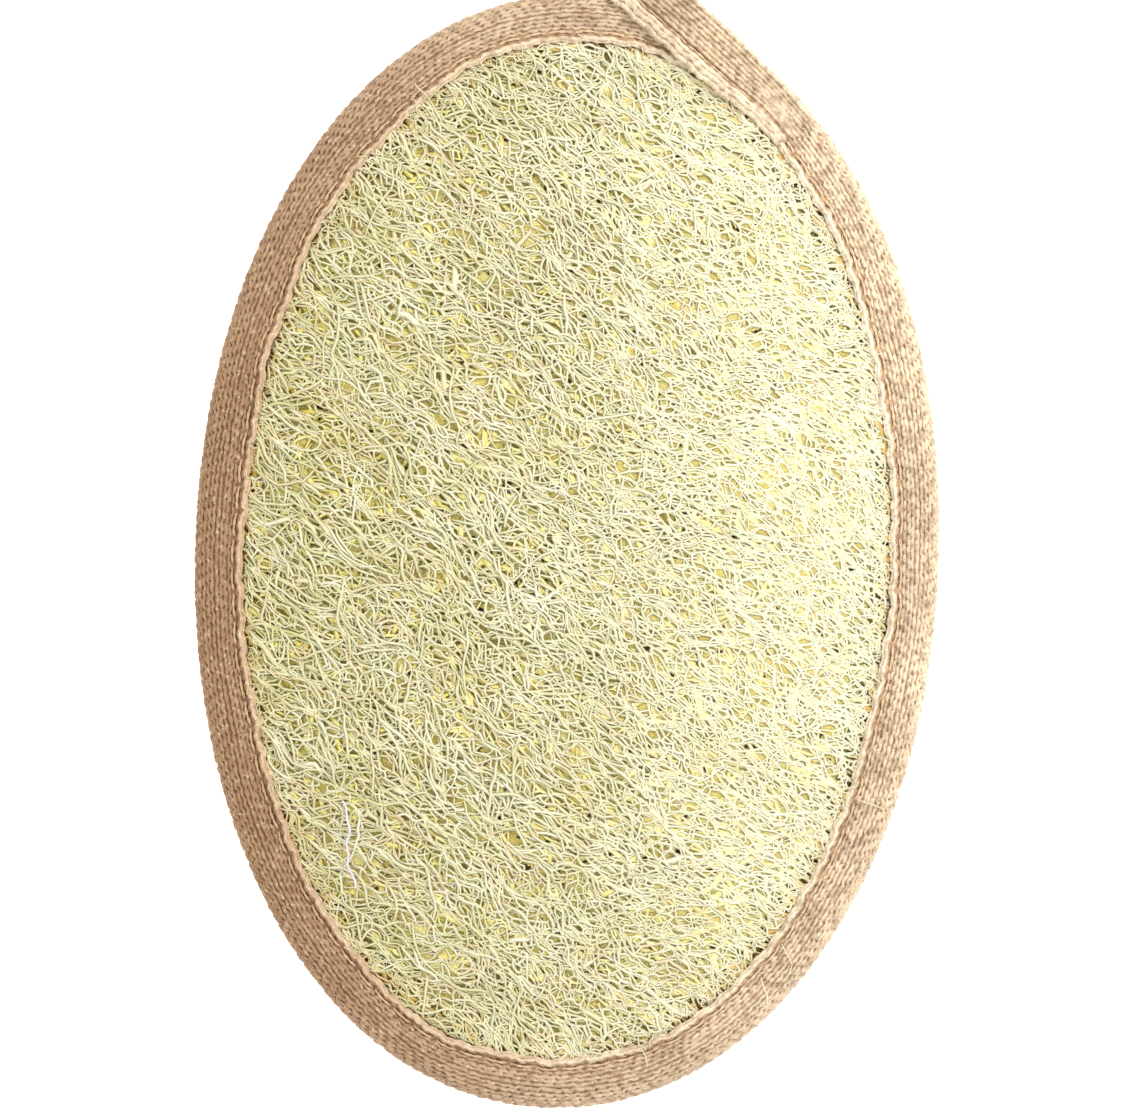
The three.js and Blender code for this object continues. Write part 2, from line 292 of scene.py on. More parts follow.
# The last two numbers are the share of painted light on the right and of painted shade along the lip.
top_fibres = [
    fibre_finish("fibre_cream", (219, 212, 172), (212, 204, 155), (200, 188, 126), 0.2, 0.62, 0.1),
    fibre_finish("fibre_pale", (228, 224, 194), (219, 213, 174), (208, 200, 148), 0.25, 0.62, 0.1),
    fibre_finish("fibre_green", (208, 207, 160), (200, 196, 134), (188, 178, 108), 0.2, 0.62, 0.1),
    fibre_finish("fibre_tan", (218, 199, 154), (206, 183, 131), (190, 165, 104), 0.15, 0.62, 0.1),
]
middle_fibres = [
    fibre_finish("fibre_straw", (236, 227, 158), (229, 217, 132), (207, 188, 96), 0.15, 0.5, 0.45),
    fibre_finish("fibre_olive", (230, 222, 142), (220, 209, 114), (195, 178, 80), 0.1, 0.5, 0.45),
]
deep_fibres = [
    fibre_finish("fibre_ochre", (228, 213, 112), (218, 199, 86), (198, 173, 62), 0.05, 0.4, 0.8),
    fibre_finish("fibre_amber", (220, 204, 116), (208, 188, 90), (184, 158, 60), 0.05, 0.4, 0.8),
]
print("fibre finishes:", len(top_fibres + middle_fibres + deep_fibres))

# %% [markdown]
# Under the fibres lies the dense inside of the net, which is only seen through the gaps. It is
# olive and straw, with small near-black spots that are painted shade where the net is open right
# through. It is painted paler to the right as painted light, and ochre brown along the tape as
# painted shade.

# %% Finish of the core
core = Finish("loofah_core")
core_cloud = core.step(core.cloud(260.0, 3.0, 0.6), 0.38, 0.66)
core_colour = core.mix(core_cloud, screen_colour(212, 194, 98), screen_colour(222, 209, 128))
# Painted shade: near-black spots stand for the deep holes through the net.
core_hole_shade = core.step(core.cloud(480.0, 2.0, 0.5), 0.62, 0.66)
# Painted light: the core is painted paler towards the right.
core_painted_light = core.mix(core.painted_light_share() * 0.4, core_colour, screen_colour(216, 196, 124))
# Painted shade: along the lip of the tape the core is painted ochre brown.
core_lip_shade = core.mix(core.near_lip() * 0.8, core_painted_light, LIP_SHADE_OCHRE)
core_with_hole_shade = core.mix(core_hole_shade, core_lip_shade, screen_colour(52, 34, 10))
loofah_core_finish = core.wear(
    base_color=core_with_hole_shade,
    roughness=0.85,
    normal=core.bump(core.cloud(900.0, 4.0, 0.65), 0.0012, 0.8),
)
print("core finish:", loofah_core_finish.name)

# %% [markdown]
# ## Cotton finishes
# The tape is undyed cotton twill. Its yarns are a pinkish tan on the left and are painted nearly
# cream on the right, which is painted light, and they are mottled darker where they are tightly
# spun and paler where they are rubbed. The yarns in the groove have a darker finish, and those of
# the lip a paler one, which is painted light on the raised lip, so there are three yarn finishes.
# The crossing yarns below them are darker and only seen as brown gaps, which is painted shade
# between the yarns. Cotton has no gloss, and its surface is a fine fuzz, which a small strong
# noise in the bump gives.


# %% Cotton finishes
def cotton_finish(name, tan, dark, painted_light_and_wear, fuzz):
    tan, dark, painted_light_and_wear = [screen_colour(*colour) for colour in (tan, dark, painted_light_and_wear)]
    finish = Finish(name)
    slow = finish.step(finish.cloud(60.0, 2.0), 0.35, 0.65)
    spun = finish.step(finish.cloud(760.0, 4.0, 0.7), 0.42, 0.62)
    # Painted light: the yarns are painted paler towards the right.
    base = finish.mix(finish.painted_light_share(), tan, painted_light_and_wear)
    shaded = finish.mix(slow * 0.25, base, dark)
    mottled = finish.mix(spun * 0.55, shaded, dark)
    worn = finish.step(finish.cloud(1250.0, 3.0, 0.7), 0.53, 0.68)
    # The rubbed spots take the same pale colour; they are wear.
    colour = finish.mix(worn * 0.42, mottled, painted_light_and_wear)
    return finish.wear(
        base_color=colour,
        roughness=0.92,
        normal=finish.bump(finish.cloud(4200.0, 3.0, 0.7), 0.0001 * fuzz, 0.8),
    )


yarn_finishes = [
    cotton_finish("cotton_yarn", (166, 130, 96), (134, 96, 66), (238, 219, 188), 1.0),
    cotton_finish("cotton_yarn_in_groove", (166, 128, 96), (132, 94, 66), (214, 184, 148), 1.0),
    # Painted light: the yarns of the raised lip are painted paler.
    cotton_finish("cotton_yarn_painted_light_on_lip", (206, 176, 140), (176, 140, 106), (248, 236, 210), 1.2),
]
PLAIN, IN_GROOVE, LIT_ON_LIP = 0, 1, 2
# Painted shade: the crossing yarns are painted darker than the yarns over them.
weft_shade_finish = cotton_finish("cotton_weft_painted_shade", (144, 108, 76), (104, 72, 46), (212, 180, 140), 1.2)
thread_finish = cotton_finish("sewing_thread", (212, 178, 140), (180, 142, 104), (238, 216, 186), 0.5)
lint_finish = cotton_finish("cotton_lint", (220, 190, 160), (190, 156, 124), (244, 226, 206), 0.4)
stray_finish = cotton_finish("stray_thread", (226, 218, 236), (206, 196, 222), (236, 230, 244), 0.3)
print("yarn finishes:", ", ".join(material.name for material in yarn_finishes))

# %% [markdown]
# ## Floor
# The floor is a lit white table, so that it stays white right up to the pad.


# %% Floor
def mesh_of(bm, name):
    """The mesh of a finished bmesh, which is then freed."""
    mesh = bpy.data.meshes.new(name)
    bm.to_mesh(mesh)
    bm.free()
    return mesh


table = Finish("white_table")
table.shader.inputs["Base Color"].default_value = (0.9, 0.9, 0.9, 1.0)
table.shader.inputs["Roughness"].default_value = 0.9
table.shader.inputs["Emission Color"].default_value = (1.0, 1.0, 1.0, 1.0)
table.shader.inputs["Emission Strength"].default_value = 0.9
floor_bm = bmesh.new()
bmesh.ops.create_grid(floor_bm, x_segments=1, y_segments=1, size=3.0)
floor_mesh = mesh_of(floor_bm, "floor")
floor_mesh.materials.append(table.material)
floor = bpy.data.objects.new("floor", floor_mesh)
bpy.context.scene.collection.objects.link(floor)
floor.location.z = -0.0004
print("floor placed")

# %% [markdown]
# ## The oval
# The outline is a superellipse, a little fuller than a true ellipse. Points on the rim are found
# by how far round they lie, as a share of the whole length, and how far inside the edge. The
# share is read from a table of lengths, so that yarns and stitches come out evenly spaced.
# The net isn't the same all over: on the left it is deep and springy, on the right it is pressed
# flat, and along the tape it swells up before it dives under the lip.


# %% Points on the oval
def outline_point(angle, inward):
    power = 2 / OUTLINE_POWER
    c, s = math.cos(angle), math.sin(angle)
    across = math.copysign(abs(c) ** power, c)
    along = math.copysign(abs(s) ** power, s)
    normal = Vector((
        math.copysign(abs(across) ** (OUTLINE_POWER - 1), c) / HALF_WIDTH,
        math.copysign(abs(along) ** (OUTLINE_POWER - 1), s) / HALF_LENGTH,
    )).normalized()
    return Vector((HALF_WIDTH * across, HALF_LENGTH * along)) - normal * inward


def length_table(count):
    lengths = [0.0]
    last = outline_point(0, TAPE_COVER / 2)
    for k in range(1, count + 1):
        spot = outline_point(2 * math.pi * k / count, TAPE_COVER / 2)
        lengths.append(lengths[-1] + (spot - last).length)
        last = spot
    return lengths


RIM_SAMPLES = 2880
RIM_LENGTHS = length_table(RIM_SAMPLES)
RIM_LENGTH = RIM_LENGTHS[-1]


def rim_angle(share):
    goal = (share % 1.0) * RIM_LENGTH
    low, high = 0, RIM_SAMPLES
    while high - low > 1:
        middle = (low + high) // 2
        if RIM_LENGTHS[middle] > goal:
            high = middle
        else:
            low = middle
    part = (goal - RIM_LENGTHS[low]) / (RIM_LENGTHS[high] - RIM_LENGTHS[low])
    return 2 * math.pi * (low + part) / RIM_SAMPLES


def depth_share(x, y):
    """0 at the oval's edge and 1 in its middle."""
    size = (abs(x) / HALF_WIDTH) ** OUTLINE_POWER + (abs(y) / HALF_LENGTH) ** OUTLINE_POWER
    return 1 - min(1.0, size) ** (1 / OUTLINE_POWER)


def crown_height(x, y):
    """The height of the net, from just under the lip up to the crown in the middle."""
    edge = TAPE_COVER / HALF_WIDTH
    rise = max(0.0, min(1.0, (depth_share(x, y) - edge) / (1 - edge)))
    full = 1 - (1 - rise) ** 2.6
    return RIM_HEIGHT - NET_UNDER_LIP + (PAD_HEIGHT - RIM_HEIGHT + NET_UNDER_LIP) * full


def smooth_step(low, high, value):
    t = max(0.0, min(1.0, (value - low) / (high - low)))
    return t * t * (3 - 2 * t)


def springiness(x):
    """1 on the left, where the net is deep, and less on the right, where it is pressed flat."""
    return 1 - 0.68 * smooth_step(-15, 40, x)


def room(x, y, inward):
    """Under 1 inside the oval that lies this far inside the edge."""
    wide = (abs(x) / (HALF_WIDTH - inward)) ** OUTLINE_POWER
    long = (abs(y) / (HALF_LENGTH - inward)) ** OUTLINE_POWER
    return wide + long


def lip_lift(spread):
    """How far the net swells up before it dives under the lip of the tape."""
    return 0.75 * smooth_step(0.82, 0.99, spread)


print("length round the rim:", round(RIM_LENGTH), "mm")

# %% [markdown]
# ## Turning meshes into pieces
# Every piece rides on the one body of the part, and its finishes are given with it.
# Swept shapes can come out inside out, so a piece's volume is measured with its sign, and its
# faces are turned round if the sign is negative. Fibres, yarns and threads are all curves with a
# small section, swept in Blender and kept as meshes. There are thousands of them, so a fibre's
# section has only three or four corners: a lozenge, a ridge, and a flat web for the deep ones.


# %% Piece helpers
def finish_piece(name, mesh, materials):
    bm = bmesh.new()
    bm.from_mesh(mesh)
    if bm.calc_volume(signed=True) < 0:
        bmesh.ops.reverse_faces(bm, faces=bm.faces[:])
    for face in bm.faces:
        face.smooth = True
    bm.to_mesh(mesh)
    triangles = sum(len(face.verts) - 2 for face in bm.faces)
    bm.free()
    mesh.name = name
    if not mesh.materials:
        for material in materials:
            mesh.materials.append(material)
    piece = bpy.data.objects.new(name, mesh)
    bpy.context.scene.collection.objects.link(piece)
    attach(piece, "root")
    print(name, "has", triangles, "triangles")
    return piece


def section_curve(name, points):
    data = bpy.data.curves.new(name, "CURVE")
    data.dimensions = "2D"
    spline = data.splines.new("POLY")
    spline.points.add(len(points) - 1)
    for point, (x, y) in zip(spline.points, points):
        point.co = (x * MM, y * MM, 0, 1)
    spline.use_cyclic_u = True
    section = bpy.data.objects.new(name, data)
    bpy.context.scene.collection.objects.link(section)
    return section


def swept_mesh(name, runs, materials, section=None, sides=6, cyclic=False):
    """Sweeps a section along runs, each a list of (point, radius in mm) with a finish number."""
    data = bpy.data.curves.new(name, "CURVE")
    data.dimensions = "3D"
    data.twist_mode = "Z_UP"
    data.use_fill_caps = True
    if section:
        data.bevel_mode = "OBJECT"
        data.bevel_object = section
    else:
        data.bevel_depth = MM
        data.bevel_resolution = (sides - 4) // 2
    for material in materials:
        data.materials.append(material)
    for points, finish_number in runs:
        spline = data.splines.new("POLY")
        spline.points.add(len(points) - 1)
        flat = []
        for place, _ in points:
            flat.extend((place.x, place.y, place.z, 1.0))
        spline.points.foreach_set("co", flat)
        spline.points.foreach_set("radius", [radius for _, radius in points])
        spline.use_cyclic_u = cyclic
        spline.material_index = finish_number
        spline.use_smooth = True
    holder = bpy.data.objects.new(name + "_path", data)
    bpy.context.scene.collection.objects.link(holder)
    graph = bpy.context.evaluated_depsgraph_get()
    mesh = bpy.data.meshes.new_from_object(holder.evaluated_get(graph))
    bpy.data.objects.remove(holder)
    bpy.data.curves.remove(data)
    return mesh


def swept_piece(name, runs, materials, slot, **shape):
    mesh = swept_mesh(name, runs, materials, **shape)
    return finish_piece(name, mesh, materials)


fibre_section = section_curve("fibre_section", [(1, 0), (0, 0.62), (-1, 0), (0, -0.62)])
ridge_section = section_curve("ridge_section", [(1, -0.22), (0, 0.48), (-1, -0.22)])
web_section = section_curve("web_section", [(1, -0.12), (0, 0.24), (-1, -0.12)])
print("sweep helpers ready")

# %% [markdown]
# ## Core of the loofah
# The inside of the pressed net is a crowned oval slab. A square grid is bent round into the
# oval, which keeps its faces even right out to the edge, and is then extruded downwards. Its
# top lies about a millimetre under the crown where the net is springy and closer where it is
# pressed, with dents of its own, so that it never shows as a smooth surface between the fibres.


# %% Core slab
CORE_INSET = 3.0
CORE_TOP_IN_TAPE = 4.0
CORE_FOOT_IN_TAPE = 1.9
CORE_FOOT = 1.5


def oval_from_square(u, v, inward):
    x = u * math.sqrt(1 - v * v / 2)
    y = v * math.sqrt(1 - u * u / 2)
    return x * (HALF_WIDTH - inward), y * (HALF_LENGTH - inward)


def core_height(x, y):
    large = noise.noise(Vector((x / 3.1, y / 2.4, 1.7)))
    small = noise.noise(Vector((x / 1.5, y / 1.3, 5.2)))
    dents = max(-0.5, min(0.45, large + 0.6 * small))
    spread = room(x, y, TAPE_COVER)
    shelter = min(1.0, max(0.0, (1 - spread) * 10))
    sunk = (0.65 * dents - 0.92) * springiness(x)
    inside = crown_height(x, y) + 0.8 * lip_lift(spread) + sunk
    return CORE_TOP_IN_TAPE * (1 - shelter) + inside * shelter


def core_foot(x, y):
    if room(x, y, TAPE_COVER) > 1:
        return CORE_FOOT_IN_TAPE
    return CORE_FOOT + 0.5 * noise.noise(Vector((x / 2.6, y / 2.2, 9.0)))


core_bm = bmesh.new()
bmesh.ops.create_grid(core_bm, x_segments=84, y_segments=126, size=1.0)
for vert in core_bm.verts:
    vert.co.x, vert.co.y = oval_from_square(vert.co.x, vert.co.y, CORE_INSET)
lower = bmesh.ops.extrude_face_region(core_bm, geom=core_bm.faces[:])
lower_verts = {item for item in lower["geom"] if isinstance(item, bmesh.types.BMVert)}
for vert in core_bm.verts:
    height_at = core_foot if vert in lower_verts else core_height
    vert.co.z = height_at(vert.co.x, vert.co.y)
    vert.co *= MM
bmesh.ops.recalc_face_normals(core_bm, faces=core_bm.faces[:])
core_mesh = mesh_of(core_bm, "loofah_core")
loofah_core = finish_piece("loofah_core", core_mesh, [loofah_core_finish])
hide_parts("loofah_sheet")

# %% [markdown]
# ## The net of fibres
# A loofah is one joined net. Its fibres fork and meet again and again, and leave long pointed
# meshes along the grain of the capsule, which here runs down to the right. To get such a net,
# seeds are strewn evenly over the oval, closer across the grain than along it, and joined into
# triangles. The middles of the triangles are the knots of the net, and two knots are joined
# where their triangles share a side. A slow and a quick noise then bend the whole net.
# The seeded random numbers give the same net on every run.


# %% Knots and meshes
NET_REACH = 110
SEED_MARGIN = 2
MISSING_SEEDS = 0.10


def bent(x, y, salt):
    """A place moved by a slow and a quick noise, each with a level of its own for x and for y."""
    moved = []
    for value, level in ((x, salt + 0.4), (y, salt + 40.4)):
        slow = noise.noise(Vector((x / 30, y / 30, level)))
        quick = noise.noise(Vector((x / 5, y / 5, level + 9)))
        moved.append(value + 6.0 * slow + 1.5 * quick)
    return tuple(moved)


def net_plan(rng, salt, mesh, lean):
    """The places of a net's knots, and the pairs of knots that are joined."""
    mesh_long, mesh_wide = mesh
    grain = Vector((math.cos(lean), math.sin(lean))) * mesh_long
    across = Vector((-math.sin(lean), math.cos(lean))) * mesh_wide
    rows, columns = int(NET_REACH / mesh_wide), int(NET_REACH / mesh_long)
    seeds = []
    for row in range(-rows, rows + 1):
        for column in range(-columns, columns + 1):
            shifted = column + 0.5 * (row % 2)
            seed = Vector((shifted + rng.uniform(-0.5, 0.5), row + rng.uniform(-0.5, 0.5)))
            spot = grain * seed.x + across * seed.y
            if room(spot.x, spot.y, -SEED_MARGIN) < 1 and rng.random() > MISSING_SEEDS:
                seeds.append(seed)
    _, _, triangles, seed_numbers, _, _ = geometry.delaunay_2d_cdt(seeds, [], [], 0, 1e-6)
    meshes = sorted(sorted(seed_numbers[corner][0] for corner in corners) for corners in triangles)
    knots = []
    sides = {}
    for number, corners in enumerate(meshes):
        middle = sum((seeds[corner] for corner in corners), Vector((0, 0))) / 3
        spot = grain * middle.x + across * middle.y
        knots.append(bent(spot.x, spot.y, salt))
        for side in ((corners[0], corners[1]), (corners[0], corners[2]), (corners[1], corners[2])):
            sides.setdefault(side, []).append(number)
    return knots, [pair for pair in sides.values() if len(pair) == 2]


print("net planner ready")

# %% [markdown]
# A fibre is followed from knot to knot, as straight on as the net allows, until no join is left
# over. Where it ends it meets a fibre that runs on, so no end stands free. All the fibres at a
# knot share its depth, and each is thicker there, because the real ones are webbed together.
# At last every point is shifted a little across the grain by one noise that all layers share, so
# that strands of all layers gather in the same bundles and leave the same gaps between them.


# %% Fibres of the net
STRAIGHT_ENOUGH = 0.25


def straight_on(knots, fibre, open_joins):
    """The next knot along a fibre, or None where the net turns off too sharply."""
    here = Vector(knots[fibre[-1]])
    ahead = (here - Vector(knots[fibre[-2]])).normalized()
    ways = [(ahead.dot((Vector(knots[n]) - here).normalized()), n) for n in open_joins[fibre[-1]]]
    straightness, knot = max(ways, default=(0.0, None))
    return knot if straightness > STRAIGHT_ENOUGH else None


def net_fibres(rng, knots, joins, most_knots):
    open_joins = {}
    for first, second in joins:
        open_joins.setdefault(first, set()).add(second)
        open_joins.setdefault(second, set()).add(first)
    fibres = []
    for first, second in rng.sample(joins, len(joins)):
        if second not in open_joins[first]:
            continue
        fibre = [first, second]
        open_joins[first].remove(second)
        open_joins[second].remove(first)
        for _ in range(2):
            fibre.reverse()
            while len(fibre) < most_knots:
                knot = straight_on(knots, fibre, open_joins)
                if knot is None:
                    break
                open_joins[fibre[-1]].remove(knot)
                open_joins[knot].remove(fibre[-1])
                fibre.append(knot)
        fibres.append(fibre)
    return fibres


UNDER_TAPE = TAPE_COVER - 1.6
GRAIN_DEGREES = -35
GRAIN = Vector((math.cos(math.radians(GRAIN_DEGREES)), math.sin(math.radians(GRAIN_DEGREES))))
ACROSS_GRAIN = Vector((-GRAIN.y, GRAIN.x))
GATHER = 1.4
BUNDLE_LENGTH = 6.0
BUNDLE_WIDTH = 2.4
MOST_KNOTS = 10


def gathered(x, y, surface, depth, gather=GATHER):
    """A point of the net, shifted so that strands lie in bundles with gaps between."""
    spot = Vector((x, y))
    place = Vector((spot.dot(GRAIN) / BUNDLE_LENGTH, spot.dot(ACROSS_GRAIN) / BUNDLE_WIDTH, 12.0))
    spot += ACROSS_GRAIN * (gather * springiness(x) * noise.noise(place))
    return metres(spot.x, spot.y, surface(spot.x, spot.y, depth))


def joined_net(seed, mesh, lean, surface, levels, widths, finishes, wavy, open_share):
    """Runs for a whole net. Its joins are bowed if it is wavy, and a share of them is left open."""
    rng = random.Random(seed)
    knots, joins = net_plan(rng, seed, mesh, math.radians(lean))
    inside = [room(x, y, UNDER_TAPE) < 1 for x, y in knots]
    joins = [pair for pair in joins if inside[pair[0]] and inside[pair[1]] and rng.random() > open_share]
    depths = [rng.uniform(*levels) for _ in knots]
    runs = []
    for fibre in net_fibres(rng, knots, joins, MOST_KNOTS):
        wide = rng.uniform(*widths)
        points = []
        last = None
        for knot in fibre:
            (x, y), depth = knots[knot], depths[knot]
            if wavy and last is not None:
                (x0, y0), depth0 = knots[last], depths[last]
                aside = rng.gauss(0, 0.15)
                mx, my = (x + x0) / 2 - (y - y0) * aside, (y + y0) / 2 + (x - x0) * aside
                level = (depth + depth0) / 2 + rng.gauss(0, 0.05)
                points.append((gathered(mx, my, surface, level), wide * rng.uniform(0.75, 0.95)))
            points.append((gathered(x, y, surface, depth), wide * rng.uniform(1.05, 1.35)))
            last = knot
        runs.append((points, rng.choice(finishes)))
    return runs


print("net weaver ready")

# %% [markdown]
# Over and under that net lie strands that run on by themselves for a few millimetres. They
# follow the grain too, kink as they go, and sink at their ends. Each starts in a square of its
# own on a grid, so that they cover the pad evenly.


# %% Growing strands
OVAL_FULLNESS = 3.2


def grain_angle(x, y):
    slow = noise.noise(Vector((x / 34, y / 34, 3.1)))
    quick = noise.noise(Vector((x / 9, y / 9, 8.7)))
    return math.radians(GRAIN_DEGREES + 26 * slow + 40 * quick)


def grow_strand(rng, x, y, heading, length, steps, kink):
    path = [(x, y)]
    stride = length / steps
    curl = rng.gauss(0, 0.15)
    for _ in range(steps):
        goal = grain_angle(x, y)
        aside = math.atan2(math.sin(2 * (goal - heading)), math.cos(2 * (goal - heading))) / 2
        heading += curl * stride + rng.gauss(0, kink) + 0.20 * aside * stride
        x += stride * math.cos(heading)
        y += stride * math.sin(heading)
        if room(x, y, UNDER_TAPE) > 1:
            break
        path.append((x, y))
    return path


def even_starts(rng, count, keep_inside):
    """About this many places, one in each square of a grid over the oval."""
    wide, long = HALF_WIDTH - keep_inside, HALF_LENGTH - keep_inside
    pitch = math.sqrt(OVAL_FULLNESS * wide * long / count)
    spots = []
    for column in range(math.ceil(2 * wide / pitch)):
        for row in range(math.ceil(2 * long / pitch)):
            x = (column + rng.random()) * pitch - wide
            y = (row + rng.random()) * pitch - long
            if room(x, y, keep_inside) < 1:
                spots.append((x, y))
    return spots


def strand_runs(seed, count, surface, levels, lengths, widths, finishes, ribbon_share=0.0,
                stray=0.36, kink=0.28, gather=GATHER):
    """Runs for single strands. A share of them is wide, and stray is how far they leave the grain."""
    rng = random.Random(seed)
    runs = []
    for x, y in even_starts(rng, count, UNDER_TAPE):
        heading = grain_angle(x, y) + rng.gauss(0, stray) + rng.choice((0, math.pi))
        if rng.random() < 0.15:
            heading += rng.choice((-1, 1)) * rng.uniform(0.7, 1.5)
        length = rng.uniform(*lengths) * rng.choice((0.7, 1.0, 1.0, 1.3))
        steps = max(3, min(8, round(length)))
        path = grow_strand(rng, x, y, heading, length, steps, kink)
        if len(path) < 3:
            continue
        level = rng.uniform(*levels)
        sway = rng.uniform(0, 2 * math.pi)
        wide = rng.uniform(*widths)
        if rng.random() < ribbon_share:
            wide *= rng.uniform(1.7, 2.6)
        points = []
        for k, (px, py) in enumerate(path):
            end = abs(2 * k / (len(path) - 1) - 1)
            depth = level + 0.5 * end ** 3 + 0.18 * math.sin(sway + 1.5 * k)
            radius = wide * (1.0 - 0.35 * end ** 3) * rng.uniform(0.85, 1.12)
            points.append((gathered(px, py, surface, depth, gather), radius))
        runs.append((points, rng.choice(finishes)))
    return runs


print("strand grower ready")

# %% [markdown]
# The front is built in layers: flat ochre webs deep in the net, straw ridges over them, and pale
# fine fibres on top. Near the rim every layer dives below the lip of the tape, where the real net
# is pinched.


# %% Front of the net
def front_surface(x, y, depth):
    swell = 0.5 * springiness(x) * noise.noise(Vector((x / 9, y / 9, 2.2)))
    spread = room(x, y, TAPE_COVER)
    under_lip = smooth_step(0.99, 1.035, spread)
    level = crown_height(x, y) - depth * springiness(x) + swell + lip_lift(spread)
    return level * (1 - under_lip) + min(4.3, level - 1) * under_lip


deep_runs = strand_runs(11, 1700, front_surface, (0.50, 0.85), (4, 8), (0.38, 0.66), [0, 0, 0, 1],
                        gather=0.0)
swept_piece("net_deep_front", deep_runs, deep_fibres, "loofah", section=web_section)

middle_runs = joined_net(12, (3.4, 1.45), -30, front_surface, (0.4, 0.75), (0.18, 0.30),
                         [0, 0, 1], wavy=False, open_share=0.06)
middle_runs += strand_runs(13, 1300, front_surface, (0.35, 0.75), (3.5, 7), (0.17, 0.28),
                           [0, 0, 1], ribbon_share=0.15)
swept_piece("net_middle_front", middle_runs, middle_fibres, "loofah", section=ridge_section)

TOP_CHOICE = [0, 0, 0, 1, 1, 2, 2, 3]
fine_runs = joined_net(14, (2.9, 1.3), -18, front_surface, (0.1, 0.55), (0.15, 0.24),
                       TOP_CHOICE, wavy=False, open_share=0.08)
fine_runs += strand_runs(21, 1300, front_surface, (0.05, 0.45), (3, 7), (0.15, 0.24),
                         TOP_CHOICE, ribbon_share=0.12, stray=0.6)
swept_piece("net_fine_front", fine_runs, top_fibres, "loofah", section=ridge_section)

top_runs = joined_net(15, (3.2, 1.3), -42, front_surface, (-0.1, 0.35), (0.16, 0.27),
                      TOP_CHOICE, wavy=True, open_share=0.10)
swept_piece("net_top_front", top_runs, top_fibres, "loofah", section=ridge_section)

# %% [markdown]
# On top lie single strands. On the left side of the pad they are coarser and curl across the
# grain, on the right they are fine, so the left side looks more open.

# %% Strands over the net
over_runs = strand_runs(16, 1900, front_surface, (-0.15, 0.30), (3, 8), (0.14, 0.24),
                        TOP_CHOICE, ribbon_share=0.04)
coarse_runs = strand_runs(20, 1500, front_surface, (-0.30, 0.10), (5, 12), (0.19, 0.30),
                          [0, 0, 1, 2], stray=0.7, kink=0.13)
coarse_rng = random.Random(19)
for points, finish_number in coarse_runs:
    first_place = points[0][0]
    if first_place.x / MM < coarse_rng.gauss(-22, 22):
        over_runs.append((points, finish_number))
swept_piece("net_over_front", over_runs, top_fibres, "loofah", section=ridge_section)

# %% [markdown]
# The back is guessed, because the pad lies on it: the same net in one thinner layer, pressed flat.
# There too it draws in where it runs below the lip of the tape.


# %% Back of the net
def back_surface(x, y, depth):
    under_lip = smooth_step(0.985, 1.03, room(x, y, TAPE_COVER))
    return 0.35 + max(0.0, depth) + 1.0 * under_lip


back_runs = joined_net(17, (3.8, 1.6), -142, back_surface, (0.0, 0.4), (0.17, 0.27),
                       TOP_CHOICE, wavy=False, open_share=0.06)
back_runs += strand_runs(18, 1000, back_surface, (0.1, 0.7), (4, 9), (0.20, 0.32),
                         TOP_CHOICE, ribbon_share=0.12)
swept_piece("net_back", back_runs, top_fibres, "loofah", section=fibre_section)

# %% [markdown]
# ## The binding tape
# The tape is folded in half over the edge of the loofah, so seen in section it is a flat hook
# with a rounded nose. A groove runs round both faces where the seam pulls it down, and the open
# edge outside the groove puffs up into a lip. The section is listed from the lip on the front
# to the nose, and mirrored for the back.

# %% Section of the folded tape
GROOVE = TAPE_COVER - SEAM_INSET
HALF_SECTION = [
    (7.8, 2.2), (7.8, 2.65), (7.55, 2.96), (7.2, 3.12), (6.8, 2.75), (GROOVE, 2.1), (5.5, 2.55),
    (4.8, 2.95), (3.6, 3.02), (2.4, 2.92), (1.5, 2.66), (0.85, 2.22), (0.35, 1.6), (0.08, 0.85), (0.0, 0.0),
]
FULL_SECTION = HALF_SECTION + [(i, -h) for i, h in HALF_SECTION[-2::-1]]


def section_lengths(section):
    lengths = [0.0]
    for (i0, h0), (i1, h1) in zip(section, section[1:]):
        lengths.append(lengths[-1] + math.hypot(i1 - i0, h1 - h0))
    return lengths


SECTION_LENGTHS = section_lengths(FULL_SECTION)
GIRTH = SECTION_LENGTHS[-1]


def tape_section(girth):
    """The inward distance, height over the rim's middle and outward direction at a girth."""
    girth = max(0.0, min(GIRTH - 1e-6, girth))
    k = max(n for n, length in enumerate(SECTION_LENGTHS[:-1]) if length <= girth)
    part = (girth - SECTION_LENGTHS[k]) / (SECTION_LENGTHS[k + 1] - SECTION_LENGTHS[k])
    (i0, h0), (i1, h1) = FULL_SECTION[k], FULL_SECTION[k + 1]
    run = Vector((i1 - i0, h1 - h0)).normalized()
    return i0 + (i1 - i0) * part, h0 + (h1 - h0) * part, Vector((run.y, -run.x))


print("tape is", round(GIRTH, 1), "mm wide when unfolded")

# %% [markdown]
# Sewing pulls the tape down at each stitch and lets it swell between, so the lip is scalloped.
# The hand-guided edge also wanders by half a millimetre. Both are added to every point of the
# tape by how near it lies to the lip, so cloth, yarns and stitches stay together.
# Where the end of the loop is tucked under the rim, the rim is lifted over it.


# %% Points on the sewn tape
def tuck_lift(x, y, z):
    aside = 1 - smooth_step(7, 16, abs(x))
    outward = smooth_step(HALF_LENGTH - 22, HALF_LENGTH - 10, y)
    return z + 1.75 * aside * outward * max(0.0, 1 - z / RIM_HEIGHT)


